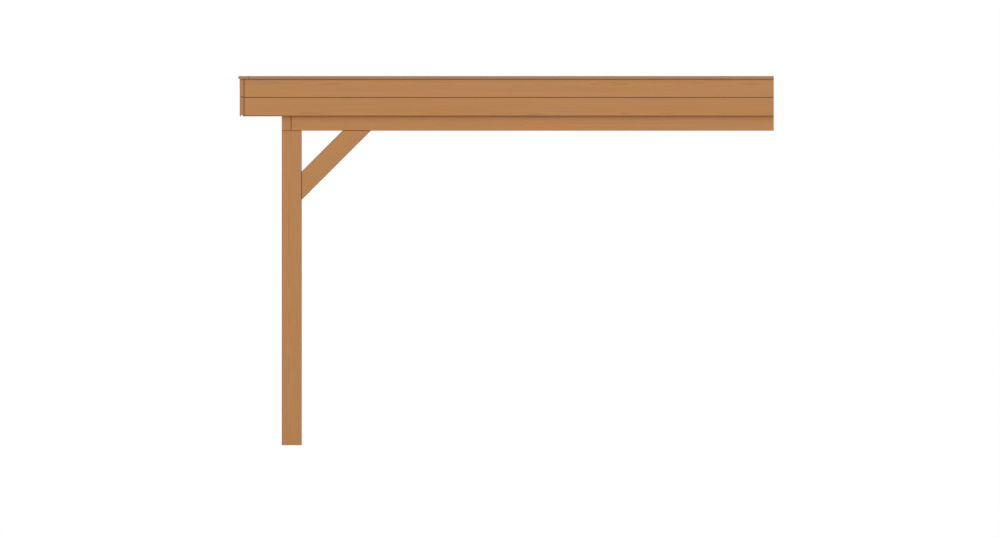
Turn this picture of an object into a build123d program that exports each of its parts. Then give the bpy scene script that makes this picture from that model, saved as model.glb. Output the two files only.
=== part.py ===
"""Attached patio cover: a flat timber roof on two front posts, bolted to a house wall.

Millimetres. +X runs along the wall, +Y points to the wall and +Z up. The origin is
the centre of the wall plate's back face, so the wall is the plane Y = 0.
"""

from build123d import *
import math
import os

os.makedirs("parts", exist_ok=True)

# Driving dimensions
width = 4000  # over the outer faces of the posts
post_projection = 3567  # from the wall to the front faces of the posts
front_overhang = 305  # from the posts' front faces to the face of the fascia
post_size = 145
post_height = 2280
beam_thickness = 68
beam_depth = 145
brace_reach = 500  # outer leg along the post and along the beam
rafter_thickness = 45
rafter_depth = 145
rafter_count = 7
firring_low = 8  # at the fascia
roof_fall = 38  # over the whole depth, about 1 in 100
deck_thickness = 18
deck_board_count = 32
deck_joint = 3  # depth of the V joints under the roof boards
fascia_thickness = 30
fascia_cover = 137.5  # of the lower board; the upper one is sawn to what is left
fascia_drop = 41  # the fascia hangs this far below the top of the beams
kerb_thickness = 28
kerb_upstand = 20  # above the roof boards at the wall
membrane_thickness = 1.5
trim_thickness = 21
trim_width = 73
trim_overhang = 10
arris = 3  # planed edges are eased by this much
outlet_radius = 40  # outside of the rainwater pipe
outlet_wall = 2.5
outlet_clearance = 1.5  # round the pipe in the roof boards
outlet_drop = 110  # how far the pipe hangs below the roof's surface
spigot_length = 80  # its lower end, at full radius
neck_step = 1  # the pipe is this much thinner above its spigot
outlet_inset = 250  # from the outer face of the left post
flange_radius = 75
flange_thickness = 3
guard_radius = 62
guard_height = 42
guard_shoulder_radius = 54
guard_shoulder_height = 30
guard_rounding = 10
guard_wall = 2.5
guard_ring = 6  # uncut height at the foot
guard_slots = 12
guard_slot_width = 7
guard_slot_start = 24  # from the axis to the inner ends of the slots
anchor_diameter = 14
anchor_count = 8
anchor_margin = 182  # from the ends of the wall plate to its outer anchors

# Levels, from the centre of the wall plate
beam_low = -beam_depth / 2
beam_top = beam_depth / 2
ground = beam_low - post_height
rafter_top = beam_top + rafter_depth
fascia_low = beam_top - fascia_drop
fascia_top = rafter_top + firring_low + roof_fall + deck_thickness + kerb_upstand
trim_low = fascia_top + membrane_thickness

# Places along X and Y
half_width = width / 2
post_front = -post_projection
post_back = post_front + post_size
post_inner = half_width - post_size
beam_back = post_front + beam_thickness
fascia_front = post_front - front_overhang
roof_front = fascia_front + fascia_thickness
rafter_first = -half_width + rafter_thickness / 2
rafter_spacing = (width - rafter_thickness) / (rafter_count - 1)


def deck_underside(y):
    """Height of the roof boards' underside at a distance y from the wall plane."""
    return rafter_top + firring_low + roof_fall * (y - roof_front) / -roof_front


def deck_surface(y):
    """Height of the roof boards' upper face."""
    return deck_underside(y) + deck_thickness


def save(part, name):
    """Label a finished piece and write it to its own file."""
    part.label = name
    export_step(part, f"parts/{name}.step")


# Posts, square with eased edges, from the ground to the underside of the ring beam
for name, side in (("left_post", -1), ("right_post", 1)):
    post_plane = Plane((side * (half_width - post_size / 2), post_front + post_size / 2, ground))
    with BuildPart() as post:
        with BuildSketch(post_plane):
            outline = Rectangle(post_size, post_size)
            chamfer(outline.vertices(), arris)
        extrude(amount=post_height)
    save(post.part, name)

# Front ring beam, full width on the outer part of the post tops
with BuildPart() as front_beam:
    with BuildSketch(Plane.YZ.offset(-half_width)):
        with Locations((post_front + beam_thickness / 2, 0)):
            outline = Rectangle(beam_thickness, beam_depth)
        chamfer(outline.vertices(), arris)
    extrude(amount=width)
save(front_beam.part, "front_beam")

# Side ring beams, from the back of the front beam to the wall
for name, side in (("left_beam", -1), ("right_beam", 1)):
    with BuildPart() as side_beam:
        with BuildSketch(Plane.XZ):
            with Locations((side * (half_width - beam_thickness / 2), 0)):
                outline = Rectangle(beam_thickness, beam_depth)
            chamfer(outline.vertices(), arris)
        extrude(amount=-beam_back)
    save(side_beam.part, name)

# Wall plate between the side beams, with a row of anchor holes on its centre line
plate_end = half_width - beam_thickness
anchor_spacing = 2 * (plate_end - anchor_margin) / (anchor_count - 1)
plate_face = Plane((0, -beam_thickness, 0), x_dir=(1, 0, 0), z_dir=(0, -1, 0))
with BuildPart() as wall_plate:
    with BuildSketch(Plane.YZ.offset(-plate_end)):
        with Locations((-beam_thickness / 2, 0)):
            outline = Rectangle(beam_thickness, beam_depth)
        chamfer(outline.vertices(), arris)
    extrude(amount=2 * plate_end)
    with Locations(plate_face), GridLocations(anchor_spacing, 0, anchor_count, 1):
        Hole(anchor_diameter / 2, beam_thickness)
save(wall_plate.part, "wall_plate")

# Knee braces at 45 degrees, flush with the outer faces of post and beam
brace_inner = brace_reach - beam_depth * math.sqrt(2)
brace_outline = ((0, -brace_reach), (0, -brace_inner), (brace_inner, 0), (brace_reach, 0))


def make_brace(plane, name):
    """A brace drawn from the corner of post and beam: +X of the plane along the beam, +Y up."""
    with BuildPart() as brace:
        with BuildSketch(plane):
            with BuildLine():
                Polyline(*brace_outline, close=True)
            make_face()
        extrude(amount=beam_thickness)
        along = plane.x_dir + plane.y_dir
        long_edges = brace.edges().filter_by(Axis((0, 0, 0), along))
        chamfer(long_edges, arris)
    save(brace.part, name)


for hand, side in (("left", -1), ("right", 1)):
    outer_face = side * half_width
    low_x = min(outer_face, outer_face - side * beam_thickness)
    side_corner = (low_x, post_back, beam_low)
    make_brace(Plane(side_corner, x_dir=(0, 1, 0), z_dir=(1, 0, 0)), f"{hand}_side_brace")
    start_y = post_front if side > 0 else beam_back
    front_corner = (side * post_inner, start_y, beam_low)
    front_plane = Plane(front_corner, x_dir=(-side, 0, 0), z_dir=(0, side, 0))
    make_brace(front_plane, f"{hand}_front_brace")

# Rafters on the wall plate and the front beam, square cut at both ends
rafter_places = [rafter_first + i * rafter_spacing for i in range(rafter_count)]
for number, x in enumerate(rafter_places, start=1):
    with BuildPart() as rafter:
        with BuildSketch(Plane.XZ):
            with Locations((x, beam_top + rafter_depth / 2)):
                outline = Rectangle(rafter_thickness, rafter_depth)
            chamfer(outline.vertices(), arris / 2)
        extrude(amount=-roof_front)
    save(rafter.part, f"rafter_{number}")

# Firring strips, one on each rafter, thick at the wall and thin at the fascia
firring_outline = (
    (roof_front, rafter_top),
    (0, rafter_top),
    (0, deck_underside(0)),
    (roof_front, deck_underside(roof_front)),
)
with BuildPart() as firrings:
    for x in rafter_places:
        with BuildSketch(Plane.YZ.offset(x - rafter_thickness / 2)):
            with BuildLine():
                Polyline(*firring_outline, close=True)
            make_face()
        extrude(amount=rafter_thickness)
save(firrings.part, "firrings")

# Roof deck, with a V joint under every meeting of two boards
deck_cover = -roof_front / deck_board_count
joint_places = [-i * deck_cover for i in range(1, deck_board_count)]
deck_outline = [
    (roof_front, deck_surface(roof_front)),
    (0, deck_surface(0)),
    (0, deck_underside(0)),
]
for y in joint_places:
    deck_outline.append((y + deck_joint, deck_underside(y + deck_joint)))
    deck_outline.append((y, deck_underside(y) + deck_joint))
    deck_outline.append((y - deck_joint, deck_underside(y - deck_joint)))
deck_outline.append((roof_front, deck_underside(roof_front)))

# The outlet stands square to the sloping roof, over the gap between front beam and fascia
fall_angle = math.atan2(roof_fall, -roof_front)
roof_normal = (0, -math.sin(fall_angle), math.cos(fall_angle))
outlet_y = (post_front + roof_front) / 2
outlet_foot = (outlet_inset - half_width, outlet_y, deck_surface(outlet_y))
outlet_plane = Plane(outlet_foot, x_dir=(1, 0, 0), z_dir=roof_normal)
membrane_plane = outlet_plane.offset(membrane_thickness)

with BuildPart() as roof_deck:
    with BuildSketch(Plane.YZ.offset(-half_width)):
        with BuildLine():
            Polyline(*deck_outline, close=True)
        make_face()
    extrude(amount=width)
    with BuildSketch(outlet_plane):
        Circle(outlet_radius + outlet_clearance)
    extrude(amount=-2 * deck_thickness, mode=Mode.SUBTRACT)
save(roof_deck.part, "roof_deck")

# Fascia boards: the section is drawn with its back at x = 0 and its lower lips at y = 0
lip_outer = 9.5  # from the face to the groove
groove_width = 12
groove_depth = 8.5
tongue_width = 11.5
tongue_height = 7.5
v_joint = 3.5  # chamfer on the face at each joint
sawn_height = fascia_top - fascia_low - fascia_cover
groove_face = fascia_thickness - lip_outer
groove_back = groove_face - groove_width
tongue_back = (groove_face + groove_back - tongue_width) / 2
tongue_face = tongue_back + tongue_width
section_foot = [
    (0, 0),
    (groove_back, 0),
    (groove_back, groove_depth),
    (groove_face, groove_depth),
    (groove_face, 0),
    (fascia_thickness - v_joint, 0),
    (fascia_thickness, v_joint),
]
tongued_head = [
    (fascia_thickness, fascia_cover - v_joint),
    (fascia_thickness - v_joint, fascia_cover),
    (tongue_face, fascia_cover),
    (tongue_face, fascia_cover + tongue_height),
    (tongue_back, fascia_cover + tongue_height),
    (tongue_back, fascia_cover),
    (0, fascia_cover),
]
sawn_head = [(fascia_thickness, sawn_height), (0, sawn_height)]


def make_fascia(name, plane, length, head):
    """One grooved board, with a tongue on its upper edge or with that edge sawn flat."""
    with BuildPart() as board:
        with BuildSketch(plane):
            with BuildLine():
                Polyline(*section_foot, *head, close=True)
            make_face()
        extrude(amount=length)
    save(board.part, name)


for course, level, head in (
    ("lower", fascia_low, tongued_head),
    ("upper", fascia_low + fascia_cover, sawn_head),
):
    # The front boards run past the ends of the side boards
    front_start = (half_width + fascia_thickness, roof_front, level)
    front_plane = Plane(front_start, x_dir=(0, -1, 0), z_dir=(-1, 0, 0))
    make_fascia(f"front_fascia_{course}", front_plane, width + 2 * fascia_thickness, head)
    right_plane = Plane((half_width, 0, level), x_dir=(1, 0, 0), z_dir=(0, -1, 0))
    make_fascia(f"right_fascia_{course}", right_plane, -roof_front, head)
    left_plane = Plane((-half_width, roof_front, level), x_dir=(-1, 0, 0), z_dir=(0, 1, 0))
    make_fascia(f"left_fascia_{course}", left_plane, -roof_front, head)

# Kerbs round the deck, level on top and cut to the roof's fall underneath
kerb_front = roof_front + kerb_thickness
kerb_inner = half_width - kerb_thickness


def make_kerb(name, low_x, high_x, low_y, high_y):
    """A batten between two X and two Y places, from the deck up to the fascia's top."""
    with BuildPart() as kerb:
        with BuildSketch(Plane.YZ.offset(low_x)):
            with BuildLine():
                Polyline(
                    (low_y, deck_surface(low_y)),
                    (high_y, deck_surface(high_y)),
                    (high_y, fascia_top),
                    (low_y, fascia_top),
                    close=True,
                )
            make_face()
        extrude(amount=high_x - low_x)
    save(kerb.part, name)


make_kerb("front_kerb", -half_width, half_width, roof_front, kerb_front)
make_kerb("left_kerb", -half_width, -kerb_inner, kerb_front, -kerb_thickness)
make_kerb("right_kerb", kerb_inner, half_width, kerb_front, -kerb_thickness)
make_kerb("wall_kerb", -half_width, half_width, -kerb_thickness, 0)

# Membrane: one sheet on the deck, up the kerbs and out over the fascia's top
tray_outline = (
    (kerb_front, deck_surface(kerb_front)),
    (-kerb_thickness, deck_surface(-kerb_thickness)),
    (-kerb_thickness, fascia_top),
    (kerb_front, fascia_top),
)
hollow_front = kerb_front + membrane_thickness
hollow_back = -kerb_thickness - membrane_thickness
hollow_outline = (
    (hollow_front, deck_surface(hollow_front) + membrane_thickness),
    (hollow_back, deck_surface(hollow_back) + membrane_thickness),
    (hollow_back, trim_low),
    (hollow_front, trim_low),
)
with BuildPart() as membrane:
    with BuildSketch(Plane.YZ):
        with BuildLine():
            Polyline(*tray_outline, close=True)
        make_face()
    extrude(amount=kerb_inner, both=True)
    with BuildSketch(Plane.XY.offset(fascia_top)):
        with Locations((0, fascia_front / 2)):
            Rectangle(width + 2 * fascia_thickness, -fascia_front)
    extrude(amount=membrane_thickness)
    with BuildSketch(Plane.YZ):
        with BuildLine():
            Polyline(*hollow_outline, close=True)
        make_face()
    extrude(amount=kerb_inner - membrane_thickness, both=True, mode=Mode.SUBTRACT)
    with BuildSketch(outlet_plane):
        Circle(outlet_radius)
    extrude(amount=2 * membrane_thickness, both=True, mode=Mode.SUBTRACT)
save(membrane.part, "membrane")

# Rainwater outlet: a flange on the membrane and a pipe that hangs behind the fascia
outlet_axis = Axis(membrane_plane.origin, membrane_plane.z_dir)
outlet_section = Plane(membrane_plane.origin, x_dir=(1, 0, 0), z_dir=-membrane_plane.y_dir)
bore_radius = outlet_radius - outlet_wall
neck_radius = outlet_radius - neck_step
spigot_top = spigot_length - outlet_drop
with BuildPart() as roof_outlet:
    with BuildSketch(outlet_section):
        with BuildLine():
            Polyline(
                (bore_radius, flange_thickness),
                (flange_radius, flange_thickness),
                (flange_radius, 0),
                (neck_radius, 0),
                (neck_radius, spigot_top + neck_step),
                (outlet_radius, spigot_top),
                (outlet_radius, -outlet_drop),
                (bore_radius, -outlet_drop),
                close=True,
            )
        outline = make_face()
        mouth = outline.vertices().group_by(Axis.X)[0].sort_by(Axis.Y)[-1]
        fillet(mouth, outlet_wall * 0.8)
    revolve(axis=outlet_axis)
save(roof_outlet.part, "roof_outlet")

# Leaf guard: a domed shell over the outlet, with slots cut down through its crown and side
guard_plane = membrane_plane.offset(flange_thickness)
guard_axis = Axis(guard_plane.origin, guard_plane.z_dir)
guard_section = Plane(guard_plane.origin, x_dir=(1, 0, 0), z_dir=-guard_plane.y_dir)
with BuildPart() as leaf_guard:
    with BuildSketch(guard_section):
        with BuildLine():
            Polyline(
                (0, 0),
                (guard_radius, 0),
                (guard_shoulder_radius, guard_shoulder_height),
                (0, guard_height),
                close=True,
            )
        make_face()
    revolve(axis=guard_axis)
    shoulder = leaf_guard.edges().filter_by(GeomType.CIRCLE).sort_by(Axis.Z)[-1]
    fillet(shoulder, guard_rounding)
    offset(amount=-guard_wall, openings=leaf_guard.faces().sort_by(Axis.Z)[0])
    with BuildSketch(guard_plane.offset(guard_ring)):
        with PolarLocations((guard_slot_start + guard_radius) / 2, guard_slots):
            SlotOverall(guard_radius - guard_slot_start, guard_slot_width)
    extrude(amount=guard_height, mode=Mode.SUBTRACT)
save(leaf_guard.part, "leaf_guard")

# Trim battens laid flat on the edge of the roof; the front one runs across the side ones
trim_face = fascia_front - trim_overhang
trim_outer = half_width + fascia_thickness + trim_overhang
trim_back = trim_face + trim_width


def make_trim(name, plane, length):
    """A batten whose section has its outer lower corner at the origin of the plane."""
    with BuildPart() as trim:
        with BuildSketch(plane):
            with Locations((trim_width / 2, trim_thickness / 2)):
                outline = Rectangle(trim_width, trim_thickness)
            chamfer(outline.vertices(), arris / 2)
        extrude(amount=length)
    save(trim.part, name)


front_trim_plane = Plane((-trim_outer, trim_face, trim_low), x_dir=(0, 1, 0), z_dir=(1, 0, 0))
make_trim("front_trim", front_trim_plane, 2 * trim_outer)
left_trim_plane = Plane((-trim_outer, 0, trim_low), x_dir=(1, 0, 0), z_dir=(0, -1, 0))
make_trim("left_trim", left_trim_plane, -trim_back)
right_trim_plane = Plane((trim_outer, trim_back, trim_low), x_dir=(-1, 0, 0), z_dir=(0, 1, 0))
make_trim("right_trim", right_trim_plane, -trim_back)
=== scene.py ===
import math
import random

import bpy
from mathutils import Matrix, Vector, noise as field
from mathutils.geometry import tessellate_polygon


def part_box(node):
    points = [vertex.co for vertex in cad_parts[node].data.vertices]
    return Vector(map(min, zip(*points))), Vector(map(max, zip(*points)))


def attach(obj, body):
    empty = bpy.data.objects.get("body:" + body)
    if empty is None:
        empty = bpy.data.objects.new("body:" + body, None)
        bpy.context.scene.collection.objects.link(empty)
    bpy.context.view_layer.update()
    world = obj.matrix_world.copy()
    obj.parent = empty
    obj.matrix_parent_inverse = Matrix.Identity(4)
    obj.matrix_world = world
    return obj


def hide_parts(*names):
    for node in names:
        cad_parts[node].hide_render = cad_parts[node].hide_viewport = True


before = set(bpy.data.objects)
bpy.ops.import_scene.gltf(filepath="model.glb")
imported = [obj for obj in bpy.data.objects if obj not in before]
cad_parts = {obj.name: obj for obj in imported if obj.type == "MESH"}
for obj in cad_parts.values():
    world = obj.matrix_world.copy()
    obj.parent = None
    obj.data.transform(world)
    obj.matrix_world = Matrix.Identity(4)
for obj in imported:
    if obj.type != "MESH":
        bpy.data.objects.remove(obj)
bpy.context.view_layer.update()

# Looks of an attached patio cover: stained timber, roofing sheet, steel fixings.
# Metres, in the CAD's frame: +X along the wall, +Y to the wall, +Z up. The wall is Y = 0.

SEED = 11
rng = random.Random(SEED)
X = Vector((1, 0, 0))
Y = Vector((0, 1, 0))
Z = Vector((0, 0, 1))
HANDS = (("left", -1), ("right", 1))
SAME = 1e-6  # places closer than this are the same

# Sizes read from the frame
post_low, post_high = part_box("right_post")
beam_low, beam_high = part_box("front_beam")
plate_low, plate_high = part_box("wall_plate")
deck_low, deck_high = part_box("roof_deck")
ground = post_low.z
half_width = post_high.x
timber_depth = beam_high.z - beam_low.z
roof_front = deck_low.y
brace_low, brace_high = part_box("right_side_brace")
# From the corner of post and beam to the near edge of a brace
brace_inner = brace_high.z - brace_low.z - timber_depth * math.sqrt(2)

# Photograph: a side elevation without perspective
PHOTO_WIDTH = 1000
PHOTO_HEIGHT = 537
METRES_PER_PIXEL = 0.00725
WALL_COLUMN = 773.75
GROUND_ROW = 445.2

# Colours of the stained timber, linear
TAN = (0.487, 0.227, 0.086)
OCHRE = (0.473, 0.229, 0.078)
ORANGE = (0.512, 0.219, 0.080)
GREY_PINK = (0.455, 0.224, 0.097)
WEATHERED = (0.89, 1.01, 1.42)  # red, green and blue of the greyed timber over the fresh one
KNOT_BROWN = (0.17, 0.07, 0.028)

# Other colours, linear; the greys run from dark to light
SHEET_BLACK = (0.030, 0.030, 0.032)
SHEET_DUST = (0.105, 0.100, 0.092)
PLASTIC_GREYS = ((0.045, 0.046, 0.050), (0.085, 0.085, 0.088))
ZINC_GREYS = ((0.42, 0.43, 0.44), (0.60, 0.61, 0.62))
FLOOR_GREYS = ((0.80, 0.80, 0.80), (0.84, 0.84, 0.84))


# Node helpers
def blank_material(name):
    """A material with an empty node tree."""
    material = bpy.data.materials.new(name)
    material.use_nodes = True
    material.node_tree.nodes.clear()
    return material


def node(tree, kind, inputs=None, **settings):
    """One node; an input is given as a value or as the socket that feeds it."""
    made = tree.nodes.new("ShaderNode" + kind)
    for key, value in settings.items():
        setattr(made, key, value)
    for key, value in (inputs or {}).items():
        if isinstance(value, bpy.types.NodeSocket):
            tree.links.new(value, made.inputs[key])
        else:
            made.inputs[key].default_value = value
    return made


def maths(tree, operation, *values):
    """The result of one sum; a value is a number or a socket."""
    return node(tree, "Math", dict(enumerate(values)), operation=operation).outputs[0]


def stretch(tree, vector, factors):
    """The vector multiplied part by part."""
    made = node(tree, "VectorMath", {0: vector, 1: factors}, operation="MULTIPLY")
    return made.outputs[0]


def brighten(tree, colour, factor):
    """The colour times a number."""
    made = node(tree, "VectorMath", {0: colour}, operation="SCALE")
    tree.links.new(factor, made.inputs["Scale"])
    return made.outputs[0]


def noise(tree, vector, detail=2.0, roughness=0.5):
    """A noise texture over coordinates that are already stretched."""
    inputs = {"Vector": vector, "Scale": 1.0, "Detail": detail, "Roughness": roughness}
    return node(tree, "TexNoise", inputs)


def ramp(tree, factor, stops):
    """A colour ramp from (place, grey level or colour) pairs."""
    made = node(tree, "ValToRGB", {"Fac": factor})
    elements = made.color_ramp.elements
    while len(elements) < len(stops):
        elements.new(0.5)
    for element, (place, level) in zip(elements, stops):
        element.position = place
        colour = level if isinstance(level, tuple) else (level, level, level)
        element.color = (*colour, 1)
    return made.outputs["Color"]


def mix(tree, factor, first, second):
    """A blend of two colours."""
    made = node(tree, "Mix", {0: factor}, data_type="RGBA")
    for index, value in ((6, first), (7, second)):
        if isinstance(value, bpy.types.NodeSocket):
            tree.links.new(value, made.inputs[index])
        else:
            made.inputs[index].default_value = (*value, 1)
    return made.outputs[2]


def spread(tree, value, low, high):
    """A value from 0 to 1 taken to a range."""
    inputs = {"Value": value, "To Min": low, "To Max": high}
    return node(tree, "MapRange", inputs).outputs["Result"]


def surface(tree, inputs):
    """Gives the material its one shader."""
    shader = node(tree, "BsdfPrincipled", inputs)
    node(tree, "OutputMaterial", {"Surface": shader.outputs[0]})


# Timber
RING_WIDTH = 0.0036
RING_LIFT = 0.36  # brightness given back for the dark part of the rings
WAVE_TURN = 2 * math.pi / 20  # the wave texture's own period at a scale of 1
KNOT_PUSH = 0.010  # how far the rings part round a knot
GRAIN_LENGTH = 40  # a piece takes its grain from anywhere along this length
SHADE_DEPTH = (0.57, 0.70, 0.92)  # red, green and blue lost where shade is painted into joints, creases and under the trim, and on darker arrises
SHADE_FADE = 0.003
ARRIS_FADE = 0.006
ARRIS_BAND = 0.003  # how near to an edge counts as on it
# Levels of painted shade at the ends and contacts of posts, beams and braces; the two arris
# levels make arrises darker
BRACE_END_SHADE = 1.08
BRACE_EDGE_STAIN = 0.8
POST_CONTACT_SHADE = 1.0
POST_HEAD_SHADE = 0.35
POST_ARRIS_STAIN = 0.45
BEAM_OVER_POST_SHADE = 0.8
BEAM_OVER_BRACE_SHADE = 0.7


def grain_from_piece(tree):
    """Wood coordinates stored with each vertex: x along the piece, the pith at y = z = 0."""
    return node(tree, "Attribute", attribute_name="grain").outputs["Vector"]


def grain_from_place(along):
    """Wood coordinates of a piece that keeps its CAD mesh, with its grain along X or Y."""

    def build(tree):
        place = node(tree, "TexCoord").outputs["Object"]
        parts = node(tree, "SeparateXYZ", {0: place}).outputs
        order = (0, 1, 2) if along == "X" else (1, 0, 2)
        inputs = {i: parts[part] for i, part in enumerate(order)}
        return node(tree, "CombineXYZ", inputs).outputs[0]

    return build


def wood(
    name, grain=grain_from_piece, contrast=0.14, knots=0.0, level=1.0, variety=0.015, tint=None
):
    """Planed softwood under a brown stain: growth rings, streaks, fibres and, if asked, knots."""
    material = blank_material(name)
    tree = material.node_tree
    place = grain(tree)

    # Broad changes of hue and brightness
    patch = noise(tree, stretch(tree, place, (0.6, 16, 16)), 2).outputs["Fac"]
    hue = ramp(tree, patch, ((0.30, GREY_PINK), (0.45, TAN), (0.58, OCHRE), (0.70, ORANGE)))
    if tint:
        hue = stretch(tree, hue, tint)
    streak = noise(tree, stretch(tree, place, (1.4, 60, 60)), 3, 0.6).outputs["Fac"]
    streak_gain = spread(tree, streak, 0.90, 1.10)

    # Rings that wander along the piece and part round the knots
    wander = noise(tree, stretch(tree, place, (1.1, 6, 6)), 2).outputs["Color"]
    shift = node(tree, "VectorMath", {0: wander, 1: (0.5, 0.5, 0.5)}, operation="SUBTRACT")
    shift = stretch(tree, shift.outputs[0], (0, 0.022, 0.022))
    bent = node(tree, "VectorMath", {0: place, 1: shift}, operation="ADD").outputs[0]
    knot_inputs = {"Vector": stretch(tree, place, (5, 9, 9)), "Scale": 1.0}
    knot_distance = node(tree, "TexVoronoi", knot_inputs).outputs["Distance"]
    near_knot = ramp(tree, knot_distance, ((0.05, 1.0), (0.30, 0.0)))
    if knots:
        push = node(tree, "CombineXYZ", {1: maths(tree, "MULTIPLY", near_knot, KNOT_PUSH)})
        both = {0: bent, 1: push.outputs[0]}
        bent = node(tree, "VectorMath", both, operation="ADD").outputs[0]
    rings = node(
        tree,
        "TexWave",
        {"Vector": bent, "Scale": WAVE_TURN / RING_WIDTH, "Distortion": 0.0},
        wave_type="RINGS",
        rings_direction="X",
        wave_profile="SAW",
    ).outputs["Fac"]
    late = ramp(tree, rings, ((0.0, 0.0), (0.55, 0.12), (0.90, 1.0), (1.0, 0.0)))

    # Fibres
    fibre = noise(tree, stretch(tree, place, (25, 900, 900)), 1).outputs["Fac"]
    fibre_gain = spread(tree, fibre, 0.95, 1.05)

    tone = node(tree, "Attribute", attribute_name="tone").outputs["Fac"]
    gain = maths(tree, "MULTIPLY", streak_gain, fibre_gain)
    gain = maths(tree, "MULTIPLY", gain, maths(tree, "MULTIPLY_ADD", tone, variety, level))
    ring_gain = maths(tree, "MULTIPLY_ADD", late, -contrast, 1 + contrast * RING_LIFT)
    gain = maths(tree, "MULTIPLY", gain, ring_gain)
    colour = brighten(tree, hue, gain)
    # Painted shade in joints, creases and under the trim, and darker arrises, stored with the
    # points
    painted_shade_and_arris = node(tree, "Attribute", attribute_name="painted_shade_and_arris").outputs["Fac"]
    lost = node(tree, "VectorMath", {0: SHADE_DEPTH}, operation="SCALE")
    tree.links.new(painted_shade_and_arris, lost.inputs["Scale"])
    left = node(tree, "VectorMath", {0: (1, 1, 1), 1: lost.outputs[0]}, operation="SUBTRACT")
    colour = stretch(tree, colour, left.outputs[0])
    if knots:
        core = ramp(tree, knot_distance, ((0.07, 1.0), (0.11, 0.0)))
        colour = mix(tree, maths(tree, "MULTIPLY", core, knots), colour, KNOT_BROWN)

    height = maths(tree, "MULTIPLY_ADD", late, 0.6, fibre)
    bump = node(tree, "Bump", {"Height": height, "Strength": 0.35, "Distance": 0.0003})
    rough = spread(tree, streak, 0.52, 0.68)
    surface(
        tree,
        {
            "Base Color": colour,
            "Roughness": rough,
            "Specular IOR Level": 0.22,
            "Normal": bump.outputs[0],
        },
    )
    return material


def rubber_sheet():
    """Matt black roofing sheet with a film of dust in patches."""
    material = blank_material("roofing_sheet")
    tree = material.node_tree
    place = node(tree, "TexCoord").outputs["Object"]
    cloud = noise(tree, stretch(tree, place, (1.3, 1.1, 1)), 5, 0.6).outputs["Fac"]
    speck = noise(tree, stretch(tree, place, (90, 90, 90)), 2).outputs["Fac"]
    dust = maths(tree, "MULTIPLY", ramp(tree, cloud, ((0.35, 0.0), (0.75, 1.0))), 0.55)
    dust = maths(tree, "MULTIPLY_ADD", ramp(tree, speck, ((0.45, 0.0), (0.7, 1.0))), 0.2, dust)
    colour = mix(tree, dust, SHEET_BLACK, SHEET_DUST)
    height = maths(tree, "ADD", speck, maths(tree, "MULTIPLY", cloud, 4.0))
    bump = node(tree, "Bump", {"Height": height, "Strength": 0.4, "Distance": 0.0006})
    surface(
        tree,
        {
            "Base Color": colour,
            "Roughness": spread(tree, dust, 0.68, 0.90),
            "Specular IOR Level": 0.3,
            "Normal": bump.outputs[0],
        },
    )
    return material


def moulded_plastic():
    """Dark grey plastic of the roof outlet."""
    material = blank_material("outlet_plastic")
    tree = material.node_tree
    place = node(tree, "TexCoord").outputs["Object"]
    cloud = noise(tree, stretch(tree, place, (40, 40, 40)), 3).outputs["Fac"]
    colour = mix(tree, cloud, *PLASTIC_GREYS)
    fine = noise(tree, stretch(tree, place, (900, 900, 900)), 1).outputs["Fac"]
    bump = node(tree, "Bump", {"Height": fine, "Strength": 0.3, "Distance": 0.0002})
    roughness = spread(tree, cloud, 0.42, 0.55)
    surface(tree, {"Base Color": colour, "Roughness": roughness, "Normal": bump.outputs[0]})
    return material


def zinc_steel():
    """Galvanised steel of brackets and screws."""
    material = blank_material("zinc_steel")
    tree = material.node_tree
    place = node(tree, "TexCoord").outputs["Object"]
    inputs = {"Vector": stretch(tree, place, (220, 220, 220)), "Scale": 1.0}
    spangle = node(tree, "TexVoronoi", inputs).outputs["Color"]
    value = node(tree, "SeparateXYZ", {0: spangle}).outputs[0]
    colour = mix(tree, value, *ZINC_GREYS)
    roughness = spread(tree, value, 0.38, 0.55)
    surface(tree, {"Base Color": colour, "Roughness": roughness, "Metallic": 0.9})
    return material


face_wood = wood("stained_timber", level=1.02)
end_wood = wood("stained_end_grain", contrast=0.30, level=0.98)
trim_wood = wood("weathered_timber", level=0.96, tint=WEATHERED)
trim_end_wood = wood("weathered_end_grain", contrast=0.30, level=0.98, tint=WEATHERED)
roof_wood = wood("stained_roof_timber", contrast=0.22, knots=0.75, variety=0.06)
kept_x_wood = wood("stained_timber_along_x", grain_from_place("X"), knots=0.6)
kept_y_wood = wood("stained_timber_along_y", grain_from_place("Y"), knots=0.6)
membrane_rubber = rubber_sheet()
outlet_plastic = moulded_plastic()
steel = zinc_steel()
TIMBER = (face_wood, end_wood)
TRIM_TIMBER = (trim_wood, trim_end_wood)
ROOF_TIMBER = (roof_wood, end_wood)


# Outlines and pieces
ARC_STEPS = 3
STRAIGHT = -0.9999  # cosine between the two sides of a point that is no corner
TIMBER_ROUNDING = 0.0027
ROOF_TIMBER_ROUNDING = 0.0015
END_EASE = 0.6  # ease of a sawn end over the rounding of the arrises
CORE_ROUNDING = 0.0002  # of the loop inside an end that sets off its edge of painted shade


def rounded(points, radius):
    """The outline with each corner rounded, as (x, y) vectors in the same order."""
    count = len(points)
    corners = [Vector(p) for p in points]
    made = []
    for i, corner in enumerate(corners):
        back = (corners[i - 1] - corner).normalized()
        ahead = (corners[(i + 1) % count] - corner).normalized()
        if back.dot(ahead) < STRAIGHT:
            made.append(corner)
            continue
        half = back.angle(ahead) / 2
        centre = corner + (back + ahead).normalized() * (radius / math.sin(half))
        first = corner + back * (radius / math.tan(half)) - centre
        turn = math.pi - 2 * half
        if back.x * ahead.y - back.y * ahead.x > 0:
            turn = -turn
        for step in range(ARC_STEPS + 1):
            angle = turn * step / ARC_STEPS
            made.append(centre + Matrix.Rotation(angle, 2) @ first)
    return made


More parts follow.
